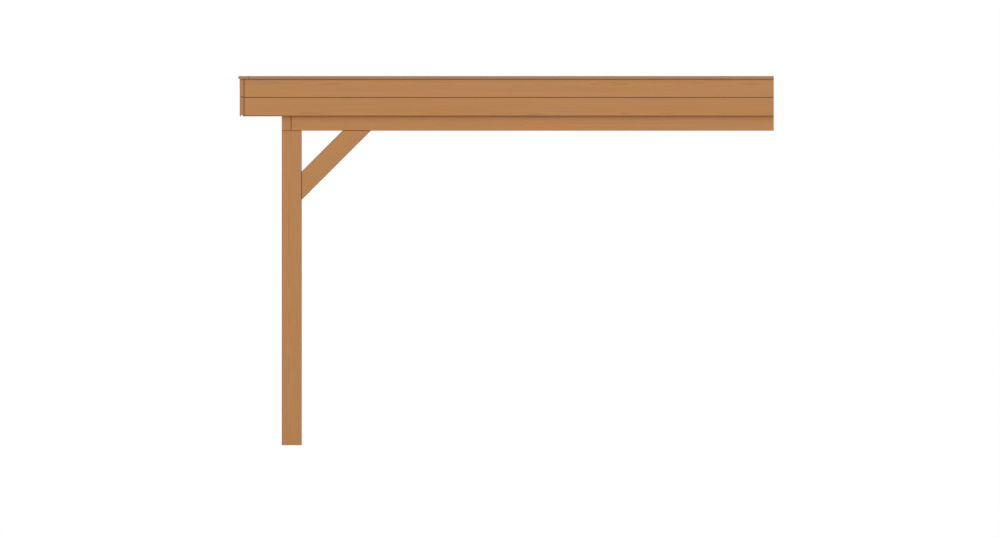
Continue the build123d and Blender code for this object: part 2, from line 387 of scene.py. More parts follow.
def inset(outline, amount):
    """The outline moved inwards by an amount; it runs anticlockwise."""
    count = len(outline)
    made = []
    for i, point in enumerate(outline):
        before = (point - outline[i - 1]).normalized()
        after = (outline[(i + 1) % count] - point).normalized()
        normals = [Vector((-before.y, before.x)), Vector((-after.y, after.x))]
        total = normals[0] + normals[1]
        made.append(point + total * (amount / (1 + normals[0].dot(normals[1]))))
    return made


def rectangle(width, height):
    x = width / 2
    y = height / 2
    return [(-x, -y), (x, -y), (x, y), (-x, y)]


def stopped_rectangle(width, height):
    """A rectangle with points next to its corners too, where the painted shade and the darkening
    of an arris fade.
    """
    made = []
    corners = [Vector(p) for p in rectangle(width, height)]
    for corner, ahead in zip(corners, corners[1:] + corners[:1]):
        step = (ahead - corner).normalized() * ARRIS_FADE
        made += [corner, corner + step, ahead - step]
    return made


def none(a, b):
    """No painted shade and no darker arris anywhere in a section."""
    return 0.0


NO_DARKENING = {
    "start": 0.0,
    "finish": 0.0,
    "fade": SHADE_FADE,
    "edge": none,
    "cap": none,
    "contacts": (),
}


def flat(level):
    """A square cut at one place along the piece."""
    return lambda a, b: level


class Shape:
    """Points, faces and wood data of one piece, gathered before its mesh is made."""

    def __init__(self):
        self.points = []
        self.grain = []
        self.tones = []
        self.shade_and_arris_levels = []
        self.faces = []
        self.slots = []

    def loop(self, points, grain=None, tone=0.0, shade_and_arris_levels=None):
        """Adds points and returns their numbers."""
        first = len(self.points)
        self.points += points
        self.grain += grain or points
        self.tones += [tone] * len(points)
        self.shade_and_arris_levels += shade_and_arris_levels or [0.0] * len(points)
        return list(range(first, len(self.points)))

    def face(self, numbers, slot=0):
        self.faces.append(numbers)
        self.slots.append(slot)

    def band(self, low, high, slot=0):
        """Faces between two loops that run the same way."""
        for i in range(len(low)):
            j = (i + 1) % len(low)
            self.face((low[i], low[j], high[j], high[i]), slot)

    def prism(self, origin, along, across, section, cuts, wood_data=((0, 0), 0.0), painted_shade_and_arris=None):
        """A straight timber between two cuts, each a function of the place in the section.

        section is (corners, rounding, ease of the ends); wood_data is (pith, tone). The last
        argument says where shade is painted into the joints and where arrises are darker:
        "start" and "finish" are the ends, which fade over "fade"; "edge" and "cap" are functions
        of the place in the section, the one for the whole length and the other for the end
        faces; and "contacts" are stretches along the piece, each with such a function, where
        others meet it.
        """
        corners, rounding, ease = section
        pith, tone = wood_data
        dark = {**NO_DARKENING, **(painted_shade_and_arris or {})}
        up = along.cross(across)
        shift = rng.uniform(0, GRAIN_LENGTH)
        outline = rounded(corners, rounding)
        core = rounded(inset([Vector(p) for p in corners], ease + SHADE_FADE), CORE_ROUNDING)
        rows = []
        for end, cut, inwards in (("start", cuts[0], 1), ("finish", cuts[1], -1)):
            everywhere = (dark["edge"], dark["cap"])
            side = [
                (inset(outline, ease), cut, 0.0, dark[end], everywhere),
                (outline, cut, inwards * ease, dark[end], everywhere),
                (outline, cut, inwards * (ease + dark["fade"]), 0.0, (dark["edge"],)),
            ]
            if painted_shade_and_arris:
                side.insert(0, (core, cut, 0.0, 0.0, (dark["cap"],)))
            if end == "start":
                rows += side
                for low, high, mark in dark["contacts"]:
                    edge = dark["edge"]
                    rows.append((outline, flat(low - SHADE_FADE), 0.0, 0.0, (edge,)))
                    rows.append((outline, flat(low), 0.0, 0.0, (edge, mark)))
                    rows.append((outline, flat(high), 0.0, 0.0, (edge, mark)))
                    rows.append((outline, flat(high + SHADE_FADE), 0.0, 0.0, (edge,)))
            else:
                rows += reversed(side)
        loops = []
        for points, cut, step, least, marks in rows:
            places = []
            grain = []
            shade_and_arris_levels = []
            for a, b in points:
                t = cut(a, b) + step
                places.append(origin + along * t + across * a + up * b)
                grain.append(Vector((t + shift, a - pith[0], b - pith[1])))
                shade_and_arris_levels.append(max([least] + [mark(a, b) for mark in marks]))
            loops.append(self.loop(places, grain, tone, shade_and_arris_levels))
        caps = (0, len(loops) - 2) if painted_shade_and_arris else ()
        for number, (low, high) in enumerate(zip(loops, loops[1:])):
            self.band(low, high, 1 if number in caps else 0)
        self.face(tuple(reversed(loops[0])), 1)
        self.face(tuple(loops[-1]), 1)

    def lathe(self, centre, axis, profile, sides=16):
        """A turned form: profile is (radius, height) pairs from its foot to its top."""
        side = axis.orthogonal().normalized()
        other = axis.cross(side)
        loops = []
        for radius, height in profile:
            ring = []
            for k in range(sides):
                angle = 2 * math.pi * k / sides
                out = side * math.cos(angle) + other * math.sin(angle)
                ring.append(centre + axis * height + out * radius)
            loops.append(self.loop(ring))
        for low, high in zip(loops, loops[1:]):
            self.band(low, high)
        self.face(tuple(loops[-1]))

    def piece(self, name, materials, slot, *nodes, crease=35):
        """The finished object, riding on the frame and standing for its CAD nodes."""
        mesh = bpy.data.meshes.new(name)
        mesh.from_pydata([tuple(p) for p in self.points], [], self.faces)
        grain = mesh.attributes.new("grain", "FLOAT_VECTOR", "POINT")
        grain.data.foreach_set("vector", [c for g in self.grain for c in g])
        tone = mesh.attributes.new("tone", "FLOAT", "POINT")
        tone.data.foreach_set("value", self.tones)
        painted_shade_and_arris = mesh.attributes.new("painted_shade_and_arris", "FLOAT", "POINT")
        painted_shade_and_arris.data.foreach_set("value", self.shade_and_arris_levels)
        mesh.polygons.foreach_set("material_index", self.slots)
        for material in materials:
            mesh.materials.append(material)
        mesh.shade_smooth()
        mesh.set_sharp_from_angle(angle=math.radians(crease))
        made = bpy.data.objects.new(name, mesh)
        bpy.context.scene.collection.objects.link(made)
        weighted = made.modifiers.new("even_normals", "WEIGHTED_NORMAL")
        weighted.keep_sharp = True
        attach(made, "root")
        if nodes:
            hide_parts(*nodes)
        return made


ACROSS = {"X": Y, "Y": Z, "Z": X}
ALONG = {"X": X, "Y": Y, "Z": Z}


def straight_timber(
    node_name, axis, wood_data, look, slot, rounding=TIMBER_ROUNDING, painted_shade_and_arris=None
):
    """A squared timber as large as its CAD node, with rounded arrises."""
    low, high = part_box(node_name)
    centre = (low + high) / 2
    size = high - low
    along = ALONG[axis]
    across = ACROSS[axis]
    half_length = size.dot(along) / 2
    corners = stopped_rectangle(size.dot(across), size.dot(along.cross(across)))
    section = (corners, rounding, rounding * END_EASE)
    cuts = (flat(-half_length), flat(half_length))
    shape = Shape()
    shape.prism(centre, along, across, section, cuts, wood_data, painted_shade_and_arris)
    shape.piece(f"{node_name}_timber", look, slot, node_name)


def post_contact(side):
    """Painted shade on the arrises of a post where its two braces meet it; side is 1 at the
    right.
    """
    middle = (post_low.z + post_high.z) / 2
    heel = brace_low.z - middle
    toe = post_high.z - brace_inner - middle
    near = (post_high.x - post_low.x) / 2 - ARRIS_BAND

    def mark(a, b):
        at_side_brace = side * a > near and b > near
        at_front_brace = side * a < -near and b < -near
        return POST_CONTACT_SHADE if at_side_brace or at_front_brace else 0.0

    return heel, toe, mark


def post_arris(a, b):
    """The four arrises of a post are a little darker."""
    near = (post_high.x - post_low.x) / 2 - ARRIS_BAND
    return POST_ARRIS_STAIN if abs(a) > near and abs(b) > near else 0.0


CONTACT_START = 0.010  # behind the painted shade of the beam's own end
FRONT_END_INNER = 0.03  # from the middle of the front beam's end to its strip of painted shade


def beam_shade_marks(node_name, side):
    """Painted shade on a side beam at the front beam, at the wall plate and where it lies on
    others.

    Its post and its brace meet its lower outer arris, the wall plate the inner edge of its end.
    """
    low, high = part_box(node_name)
    middle = (low.y + high.y) / 2
    near_x = (high.x - low.x) / 2 - ARRIS_BAND
    near_z = timber_depth / 2 - ARRIS_BAND

    def arris(level):
        return lambda a, b: level if side * b > near_x and a < -near_z else 0.0

    post_reach = (low.y + CONTACT_START - middle, post_high.y - SHADE_FADE - middle)
    brace_reach = (post_high.y + brace_inner - middle, brace_high.y - middle)
    return {
        "start": 1.0,
        "cap": lambda a, b: 1.0 if side * b < -near_x else 0.0,
        "contacts": (
            (*post_reach, arris(BEAM_OVER_POST_SHADE)),
            (*brace_reach, arris(BEAM_OVER_BRACE_SHADE)),
        ),
    }


def front_beam_cap(a, b):
    """Painted shade on the front beam's ends, towards the side beam and over the post."""
    return 1.0 if a > FRONT_END_INNER or b < ARRIS_BAND - timber_depth / 2 else 0.0


for hand, side in HANDS:
    post_data = ((0.012, -0.020), -0.5)
    # Painted shade at the post's head under the beam and where the braces meet it; its arrises a
    # little darker
    post_shade_and_arris = {
        "finish": POST_HEAD_SHADE,
        "edge": post_arris,
        "contacts": (post_contact(side),),
    }
    straight_timber(f"{hand}_post", "Z", post_data, TIMBER, "post_timber", painted_shade_and_arris=post_shade_and_arris)
    # Painted light: the beams' tone is set high to make up for the fascia's shade on them
    beam_data = ((-0.030, 0.060), 1.0)
    beam_shade = beam_shade_marks(f"{hand}_beam", side)
    straight_timber(f"{hand}_beam", "Y", beam_data, TIMBER, "beam_timber", painted_shade_and_arris=beam_shade)
# Painted light: the front beam's tone is set high like the side beams'
front_data = ((0.055, -0.035), 1.0)
front_shade = {"cap": front_beam_cap}
straight_timber("front_beam", "X", front_data, TIMBER, "beam_timber", painted_shade_and_arris=front_shade)

RAFTER_COUNT = 7
for number in range(1, RAFTER_COUNT + 1):
    pith = (rng.uniform(-0.09, -0.04), rng.uniform(-0.06, 0.06))
    rafter_data = (pith, rng.uniform(-1, 1))
    rafter = f"rafter_{number}"
    straight_timber(rafter, "Y", rafter_data, ROOF_TIMBER, "roof_timber", ROOF_TIMBER_ROUNDING)

# Braces
BRACE_ROUNDING = 0.0026
BRACE_EASE = 0.0012
BRACE_FADE = 0.004


def brace(node_name, run):
    """A brace in the corner of post and beam; run points along the beam from the post."""
    low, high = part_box(node_name)
    centre = (low + high) / 2
    reach = high.z - low.z
    across = Z.cross(run)
    thickness = abs((high - low).dot(across))
    # The middle of the brace lies on the line between the middles of its two cuts
    inner = reach - timber_depth * math.sqrt(2)
    middle = (reach + inner) / 4
    corner = centre - run * (reach / 2) + Z * (reach / 2)
    origin = corner + run * middle - Z * middle
    half_length = middle * math.sqrt(2)
    half_depth = timber_depth / 2
    # Painted shade at the brace's ends where it meets post and beam; its long arrises a little
    # darker
    painted_shade_and_arris = {
        "start": BRACE_END_SHADE,
        "finish": BRACE_END_SHADE,
        "fade": BRACE_FADE,
        "edge": lambda a, b: BRACE_EDGE_STAIN if abs(b) > half_depth - ARRIS_BAND else 0.0,
    }
    shape = Shape()
    shape.prism(
        origin,
        (run + Z).normalized(),
        across,
        (stopped_rectangle(thickness, timber_depth), BRACE_ROUNDING, BRACE_EASE),
        (lambda a, b: b - half_length, lambda a, b: half_length - b),
        ((0.02, -0.10), rng.uniform(-1, 1)),
        painted_shade_and_arris,
    )
    shape.piece(f"{node_name}_timber", TIMBER, "beam_timber", node_name)


for hand, side in HANDS:
    brace(f"{hand}_side_brace", Y)
    brace(f"{hand}_front_brace", X * -side)

# Fascia boards: the section is drawn from its back, lower corner, outwards and up
FASCIA_THICKNESS = 0.030
FASCIA_COVER = 0.1375
FASCIA_CHAMFER = 0.0035
FASCIA_ROUNDING = 0.0009
FASCIA_EASE = 0.0008
FASCIA_END_FADE = 0.009
GROOVE_BACK = 0.0085
GROOVE_FACE = 0.0205
GROOVE_DEPTH = 0.0085
TONGUE_PLAY = 0.00005  # the tongue fills the groove, so that no light passes along the joint
TONGUE_BACK = GROOVE_BACK + TONGUE_PLAY
TONGUE_FACE = GROOVE_FACE - TONGUE_PLAY
TONGUE_HEIGHT = GROOVE_DEPTH - TONGUE_PLAY
EDGE_FADE = 0.006
# Painted shade on the lower board's foot and in the chamfers, and the trim's painted shadow on
# the upper board's head
FOOT_SHADE = 0.72
HEAD_SHADOW = 0.85
CHAMFER_SHADE = 0.45
CHAMFER_BAND = 0.001  # beyond the tongue and the chamfer
FACE_BAND = 0.0002  # behind the board's face
HEAD_BAND = 0.002  # from its head and its back


def fascia_outline(course, height):
    """A grooved board, with a tongue on the lower course and a sawn head on the upper."""
    foot = [
        (0, 0),
        (GROOVE_BACK, 0),
        (GROOVE_BACK, GROOVE_DEPTH),
        (GROOVE_FACE, GROOVE_DEPTH),
        (GROOVE_FACE, 0),
        (FASCIA_THICKNESS - FASCIA_CHAMFER, 0),
        (FASCIA_THICKNESS, FASCIA_CHAMFER),
    ]
    if course == "upper":
        head = [(FASCIA_THICKNESS, height - EDGE_FADE), (FASCIA_THICKNESS, height), (0, height)]
        return foot + head
    return foot + [
        (FASCIA_THICKNESS, FASCIA_CHAMFER + EDGE_FADE),
        (FASCIA_THICKNESS, FASCIA_COVER - FASCIA_CHAMFER),
        (FASCIA_THICKNESS - FASCIA_CHAMFER, FASCIA_COVER),
        (TONGUE_FACE, FASCIA_COVER),
        (TONGUE_FACE, FASCIA_COVER + TONGUE_HEIGHT),
        (TONGUE_BACK, FASCIA_COVER + TONGUE_HEIGHT),
        (TONGUE_BACK, FASCIA_COVER),
        (0, FASCIA_COVER),
    ]


def fascia_shade(hand, course, height):
    """Where shade is painted on a board: in its chamfers, on its foot, on its head as the trim's
    shadow, and at its meeting ends.
    """

    def edge(a, b):
        depth = FASCIA_THICKNESS - a
        if a < TONGUE_FACE + CHAMFER_BAND:
            return 0.0
        if course == "lower" and b < FASCIA_CHAMFER + CHAMFER_BAND:
            return FOOT_SHADE
        if depth < FACE_BAND:
            return HEAD_SHADOW if course == "upper" and b > height - HEAD_BAND else 0.0
        return min(1.0, CHAMFER_SHADE + depth / FASCIA_CHAMFER)

    def cap(a, b):
        at_joint = b > FASCIA_COVER - ARRIS_BAND if course == "lower" else b < ARRIS_BAND
        return 1.0 if at_joint or a < HEAD_BAND else 0.0

    if hand == "front":
        return {"edge": edge, "cap": cap}
    meeting_end = "finish" if hand == "right" else "start"
    return {"edge": edge, "fade": FASCIA_END_FADE, meeting_end: 1.0}


def fascia(hand, course, outward):
    """One board, laid with its back against the frame's edge and its face outward."""
    node_name = f"{hand}_fascia_{course}"
    low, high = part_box(node_name)
    centre = (low + high) / 2
    along = outward.cross(Z)
    back = centre - outward * (FASCIA_THICKNESS / 2)
    half_length = abs((high - low).dot(along)) / 2
    pith = (rng.uniform(-0.05, -0.03), rng.uniform(0.02, 0.10))
    shape = Shape()
    shape.prism(
        Vector((back.x, back.y, low.z)),
        along,
        outward,
        (fascia_outline(course, high.z - low.z), FASCIA_ROUNDING, FASCIA_EASE),
        (flat(-half_length), flat(half_length)),
        (pith, rng.uniform(-1, 1)),
        fascia_shade(hand, course, high.z - low.z),
    )
    shape.piece(f"{node_name}_board", TIMBER, "fascia_timber", node_name)


for course in ("lower", "upper"):
    fascia("front", course, -Y)
    fascia("left", course, -X)
    fascia("right", course, X)

# Roof boards, laid along X, with V joints below and a hole for the outlet
DECK_BOARDS = 32
DECK_THICKNESS = 0.018
DECK_JOINT = 0.003
BOARD_GAP = 0.0008
OUTLET_HOLE = 0.0415
HALF_CIRCLE_STEPS = 12
outlet_low, outlet_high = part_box("roof_outlet")
outlet_x = (outlet_low.x + outlet_high.x) / 2
deck_slope = (deck_high.z - deck_low.z - DECK_THICKNESS) / -deck_low.y


def deck_top(y):
    """Height of the roof boards' upper face."""
    return deck_high.z + deck_slope * y


def outlet_line(z):
    """Y of the outlet's axis at a height; it stands square to the roof."""
    flange_y = (outlet_high.y + outlet_low.y) / 2
    return flange_y - (z - outlet_high.z) * deck_slope


outlet_y = outlet_line(deck_high.z + deck_slope * outlet_high.y)


def notch(edge, upper):
    """Points of the hole's arc on one side of the joint at edge, clockwise."""
    first = math.asin((edge - outlet_y) / OUTLET_HOLE)
    if upper:
        start, turn = math.pi - first, 2 * first - math.pi
    else:
        start, turn = first, -math.pi - 2 * first
    made = []
    for step in range(HALF_CIRCLE_STEPS + 1):
        angle = start + turn * step / HALF_CIRCLE_STEPS
        x = outlet_x + OUTLET_HOLE * math.cos(angle)
        made.append((x, outlet_y + OUTLET_HOLE * math.sin(angle)))
    return made


def deck_board(shape, front, back):
    """One board between two Y places."""
    outline = [(-half_width, front)]
    if abs(outlet_y - front) < OUTLET_HOLE:
        outline += notch(front, True)
    outline += [(half_width, front), (half_width, back)]
    if abs(outlet_y - back) < OUTLET_HOLE:
        outline += notch(back, False)
    outline.append((-half_width, back))
    middle = (front + back) / 2
    pith = (rng.uniform(-0.04, 0.04), rng.uniform(-0.08, -0.03))
    shift = rng.uniform(0, GRAIN_LENGTH)
    tone = rng.uniform(-1, 1)
    loops = []
    for height, eased in ((0, DECK_JOINT), (DECK_JOINT, 0), (DECK_THICKNESS, 0)):
        places = []
        grain = []
        shade_and_arris_levels = []
        for x, y in outline:
            at_joint = min(abs(y - front), abs(y - back)) < SAME
            if at_joint:
                y += eased if y < middle else -eased
            places.append(Vector((x, y, deck_top(y) - DECK_THICKNESS + height)))
            grain.append(Vector((x + shift, y - middle - pith[0], height - pith[1])))
            # Painted shade at the inner edge of each V joint between roof boards
            shade_and_arris_levels.append(1.0 if at_joint and height == DECK_JOINT else 0.0)
        loops.append(shape.loop(places, grain, tone, shade_and_arris_levels))
    for low, high in zip(loops, loops[1:]):
        for i in range(len(low)):
            j = (i + 1) % len(low)
            is_end = abs(outline[i][0]) == half_width and outline[i][0] == outline[j][0]
            shape.face((low[i], low[j], high[j], high[i]), 1 if is_end else 0)
    shape.face(tuple(reversed(loops[0])))
    shape.face(tuple(loops[-1]))


deck = Shape()
board_cover = -roof_front / DECK_BOARDS
for number in range(DECK_BOARDS):
    back = -number * board_cover - (BOARD_GAP / 2 if number else 0)
    front = -(number + 1) * board_cover + (BOARD_GAP / 2 if number < DECK_BOARDS - 1 else 0)
    deck_board(deck, front, back)
deck.piece("roof_boards", ROOF_TIMBER, "roof_timber", "roof_deck")


# Screws, with a round recess in a flat head
SCREW_SIDES = 14
SCREW_CREASE = 50
SCREW_PROFILE = (  # radius over the head's radius, and depth under its top
    (0.80, 0.0012),
    (1.00, 0.0003),
    (0.96, 0.0),
    (0.55, 0.0),
    (0.48, 0.0004),
    (0.34, 0.0018),
)


def screw(shape, place, axis, radius, proud=0.0005):
    """A countersunk head at a place on a surface, facing along axis."""
    profile = [(radius * part, proud - depth) for part, depth in SCREW_PROFILE]
    shape.lathe(place, axis, profile, SCREW_SIDES)


# Trim battens with countersunk screws
TRIM_ROUNDING = 0.0018
TRIM_CORNER = 1.2  # rounding of its corners in plan over that of its arrises
BUTT_STRIP = 0.004  # the strip at a butt joint across which its painted shade fades
BUTT_BAND = 0.0005  # points this far inside the strip get painted shade
TRIM_SCREW_PITCH = 0.45
SINK_RADIUS = 0.0052
SINK_DEPTH = 0.0007
SINK_TAPER = 0.85  # radius of the sinking's foot over that of its rim
SINK_FOOT = 1.6  # depth of that foot over the depth of the screw's head
SINK_FILL = 0.86  # radius of the screw's head over that of the rim
screws = Shape()


def pierced_face(shape, outline, holes, normal):
    """A flat face with holes, as triangles."""
    loops = [outline] + holes
    numbers = [n for loop in loops for n in loop]
    for triangle in tessellate_polygon([[shape.points[n] for n in loop] for loop in loops]):
        corners = [numbers[k] for k in triangle]
        a, b, c = (shape.points[n] for n in corners)
        if (b - a).cross(c - a).dot(normal) < 0:
            corners.reverse()
        shape.face(tuple(corners))


def batten(node_name, along, butts):
    """A trim batten lying flat, with a row of screws; butts: its start meets another."""
    low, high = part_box(node_name)
    centre = (low + high) / 2
    across = Z.cross(along)
    length = abs((high - low).dot(along))
    breadth = abs((high - low).dot(across))
    height = high.z - low.z
    # Two more points set off the strip at its start, which has painted shade at a butt joint
    fade = BUTT_STRIP - length / 2
    corners = rectangle(length, breadth)
    corners.insert(1, (fade, -breadth / 2))
    corners.insert(4, (fade, breadth / 2))
    outline = rounded(corners, TRIM_ROUNDING * TRIM_CORNER)
    corner = ARC_STEPS + 1
    shape = Shape()
    shift = rng.uniform(0, GRAIN_LENGTH)
    tone = rng.uniform(-1, 1)
    pith = (rng.uniform(-0.03, 0.03), rng.uniform(-0.05, -0.02))

    def add_loop(points, level):
        places = []
        grain = []
        shade_and_arris_levels = []
        for u, v in points:
            foot = Vector((centre.x, centre.y, low.z + level))
            places.append(foot + along * u + across * v)
            grain.append(Vector((u + shift, v - pith[0], level - pith[1])))
            shade_and_arris_levels.append(1.0 if butts and u < fade - BUTT_BAND else 0.0)
        return shape.loop(places, grain, tone, shade_and_arris_levels)

    rounding = []
    for step in range(ARC_STEPS + 1):
        angle = math.pi / 2 * step / ARC_STEPS
        inward = TRIM_ROUNDING * (1 - math.sin(angle))
        rounding.append((inward, TRIM_ROUNDING * (1 - math.cos(angle))))
    loops = [add_loop(inset(outline, inward), rise) for inward, rise in rounding]
    for inward, rise in reversed(rounding):
        loops.append(add_loop(inset(outline, inward), height - rise))
    for lower, upper in zip(loops, loops[1:]):
        for i in range(len(lower)):
            j = (i + 1) % len(lower)
            is_end = abs(outline[j][0] - outline[i][0]) < SAME
            shape.face((lower[i], lower[j], upper[j], upper[i]), 1 if is_end else 0)
    shape.face(tuple(reversed(loops[0])))

    count = max(2, round(length / TRIM_SCREW_PITCH))
    holes = []
    for k in range(count):
        u = -length / 2 + length * (k + 0.5) / count
        rim = []
        for step in range(SCREW_SIDES):
            angle = -2 * math.pi * step / SCREW_SIDES
            rim.append((u + SINK_RADIUS * math.cos(angle), SINK_RADIUS * math.sin(angle)))
        sunk = [(u + (p[0] - u) * SINK_TAPER, p[1] * SINK_TAPER) for p in rim]
        edge = add_loop(rim, height)
        foot = add_loop(sunk, height - SINK_DEPTH * SINK_FOOT)
        shape.band(foot, edge)
        shape.face(tuple(reversed(foot)))
        holes.append(edge)
        head = Vector((centre.x, centre.y, high.z)) + along * u
        screw(screws, head, Z, SINK_RADIUS * SINK_FILL, -SINK_DEPTH)
    last = len(outline) - corner - 1
    shape.face(tuple(loops[-1][last:] + loops[-1][: corner + 1]))
    pierced_face(shape, loops[-1][corner : last + 1], holes, Z)
    shape.piece(f"{node_name}_batten", TRIM_TIMBER, "trim_timber", node_name)


batten("front_trim", X, False)
batten("left_trim", Y, True)
batten("right_trim", Y, True)
screws.piece("trim_screws", (steel,), "trim_timber", crease=SCREW_CREASE)

# Screws of the ring beam and braces
BEAM_SCREW_LEVELS = (-0.045, 0, 0.045)
BEAM_SCREW_RADIUS = 0.006
BRACE_SCREW_INSET = 0.075
BRACE_SCREW_OFFSETS = (-0.016, 0.016)
BRACE_SCREW_RADIUS = 0.0055
frame_screws = Shape()
for side in (-1, 1):
    x = side * (half_width - (beam_high.y - beam_low.y) / 2)
    for level in BEAM_SCREW_LEVELS:
        screw(frame_screws, Vector((x, beam_low.y, level)), -Y, BEAM_SCREW_RADIUS)
for hand, side in HANDS:
    for kind, run in (("side", Y), ("front", X * -side)):
        low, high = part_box(f"{hand}_{kind}_brace")
        soffit = (low + high) / 2
        soffit_half = (high.z - low.z) / math.sqrt(2)
        for end in (-1, 1):
            reach = end * (soffit_half - BRACE_SCREW_INSET)
            place = soffit + (run + Z).normalized() * reach
            for offset in BRACE_SCREW_OFFSETS:
                head = place + Z.cross(run) * offset
                screw(frame_screws, head, (run - Z).normalized(), BRACE_SCREW_RADIUS)
frame_screws.piece("frame_screws", (steel,), "beam_timber", crease=SCREW_CREASE)

# Angle brackets between the rafters and the beams they lie on
BRACKET_LEG = 0.060
BRACKET_WIDTH = 0.055
BRACKET_STEEL = 0.0025
BRACKET_ROUNDING = 0.0007
BRACKET_EASE = 0.0003
BRACKET_SCREWS = ((-0.014, 0.045), (0.014, 0.045), (0, 0.024))  # along Y, and up or outwards
BRACKET_SCREW_RADIUS = 0.004
BRACKET_SCREW_PROUD = 0.0012
brackets = Shape()
bracket_outline = [
    (0, 0),
    (BRACKET_LEG, 0),
    (BRACKET_LEG, BRACKET_STEEL),
    (BRACKET_STEEL, BRACKET_STEEL),
    (BRACKET_STEEL, BRACKET_LEG),
    (0, BRACKET_LEG),
]
for number in range(1, RAFTER_COUNT + 1):
    low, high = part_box(f"rafter_{number}")
    side = 1 if number <= RAFTER_COUNT // 2 else -1
    x = high.x if side > 0 else low.x
    for y in ((beam_low.y + beam_high.y) / 2, (plate_low.y + plate_high.y) / 2):
        corner = Vector((x, y, low.z))
        across = X * side
        cuts = (flat(-BRACKET_WIDTH / 2), flat(BRACKET_WIDTH / 2))
        section = (bracket_outline, BRACKET_ROUNDING, BRACKET_EASE)
        brackets.prism(corner, across.cross(Z), across, section, cuts)
        for shift_y, level in BRACKET_SCREWS:
            upright = corner + across * BRACKET_STEEL + Y * shift_y + Z * level
            screw(brackets, upright, across, BRACKET_SCREW_RADIUS, BRACKET_SCREW_PROUD)
            flange = corner + Z * BRACKET_STEEL + Y * shift_y + across * level
            screw(brackets, flange, Z, BRACKET_SCREW_RADIUS, BRACKET_SCREW_PROUD)
brackets.piece("rafter_brackets", (steel, steel), "roof_timber", crease=SCREW_CREASE)

# Roofing sheet: a tray on the deck, up the kerbs and out over the fascia
SHEET = 0.0015
COVE = 0.012
EDGE_ROUNDING = 0.003
EDGE_CORNER = 0.0004
EDGE_EASE = 0.0003
EDGE_EASE_DEPTH = 0.0002
TRAY_CORNER = 0.006
CORNER_STEPS = 4
SIDE_STEPS = 44
GRID_STEP = 0.04
UNDER_COVE = COVE * 0.7  # from the upright sheet to the edge of the floor's grid
TUCK = 0.0006  # how far the grid's edge lies below the rest of the floor
PATCH_MARGIN = 0.06  # the patch begins at least this far from the outlet's axis
PATCH_CELLS = 4
PIPE_RADIUS = 0.040
RIPPLE_LIFT = 0.0007
BROAD_RIPPLE = 0.0014
FINE_RIPPLE = 0.0005
FLAT_RADIUS = 0.13
RIPPLE_FADE = 0.15
FOLD_WIDTH = 0.052
FOLD_INSET = 0.006
FOLD_GAP = 0.001  # below the top of the sheet
FOLD_ROUNDING = 0.003
FOLD_EASE = 0.0005
SHEET_CREASE = 60
kerb_inner = -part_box("left_kerb")[1].x
kerb_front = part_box("front_kerb")[1].y
kerb_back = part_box("wall_kerb")[0].y
sheet_low, sheet_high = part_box("membrane")


def ripple(x, y):
    """Small lift of the sheet off the boards, none round the outlet."""
    broad = field.noise(Vector((x * 1.6, y * 1.6, 3.1)))
    fine = field.noise(Vector((x * 7.0, y * 4.5, 8.7)))
    lift = max(0.0, RIPPLE_LIFT + broad * BROAD_RIPPLE + fine * FINE_RIPPLE)
    away = math.hypot(x - outlet_x, y - outlet_y) - FLAT_RADIUS
    return lift * min(1.0, max(0.0, away / RIPPLE_FADE))


def tray_loop(half_x, front, back, corner):
    """A rounded rectangle, anticlockwise, with points along its sides."""
    made = []
    middles = (
        ((half_x - corner, front + corner), -math.pi / 2),
        ((half_x - corner, back - corner), 0.0),
        ((corner - half_x, back - corner), math.pi / 2),
        ((corner - half_x, front + corner), math.pi),
    )
    arcs = []
    for (x, y), first in middles:
        arc = []
        for step in range(CORNER_STEPS + 1):
            angle = first + math.pi / 2 * step / CORNER_STEPS
            arc.append(Vector((x + corner * math.cos(angle), y + corner * math.sin(angle))))
        arcs.append(arc)
    for number, arc in enumerate(arcs):
        made += arc
        ahead = arcs[(number + 1) % len(arcs)][0]
        for step in range(1, SIDE_STEPS):
            made.append(arc[-1].lerp(ahead, step / SIDE_STEPS))
    return made


def tray_ring(shape, inward, level, corner, on_floor=False):
    """The loop at a distance in from the kerbs; a floor loop follows the roof's fall."""
    points = tray_loop(kerb_inner - inward, kerb_front + inward, kerb_back - inward, corner)
    if on_floor:
        places = [Vector((p.x, p.y, deck_top(p.y) + level)) for p in points]
    else:
        places = [Vector((p.x, p.y, level)) for p in points]
    return shape.loop(places)


membrane = Shape()
outer_points = tray_loop(sheet_high.x, sheet_low.y, 0.0, EDGE_CORNER)
rings = []
for level in (sheet_high.z - SHEET, sheet_high.z - EDGE_EASE_DEPTH):
    rings.append(membrane.loop([Vector((p.x, p.y, level)) for p in outer_points]))
eased_x = sheet_high.x - EDGE_EASE
outer_points = tray_loop(eased_x, sheet_low.y + EDGE_EASE, -EDGE_EASE, EDGE_CORNER)
rings.append(membrane.loop([Vector((p.x, p.y, sheet_high.z)) for p in outer_points]))
for step in range(ARC_STEPS + 1):
    angle = math.pi / 2 * step / ARC_STEPS
    inward = SHEET - EDGE_ROUNDING * (1 - math.sin(angle))
    level = sheet_high.z - EDGE_ROUNDING * (1 - math.cos(angle))
    rings.append(tray_ring(membrane, inward, level, TRAY_CORNER))
for step in range(ARC_STEPS + 2):
    angle = math.pi / 2 * step / (ARC_STEPS + 1)
    inward = SHEET + COVE * (1 - math.cos(angle))
    rise = SHEET + COVE * (1 - math.sin(angle))
    rings.append(tray_ring(membrane, inward, rise, TRAY_CORNER + COVE, True))
for outer_ring, inner_ring in zip(rings, rings[1:]):
    membrane.band(outer_ring, inner_ring)

# The floor is a grid that reaches just under the coves, with a patch round the outlet
floor_half = kerb_inner - SHEET - UNDER_COVE
floor_front = kerb_front + SHEET + UNDER_COVE
floor_back = kerb_back - SHEET - UNDER_COVE
columns = round(2 * floor_half / GRID_STEP)
rows = round((floor_back - floor_front) / GRID_STEP)


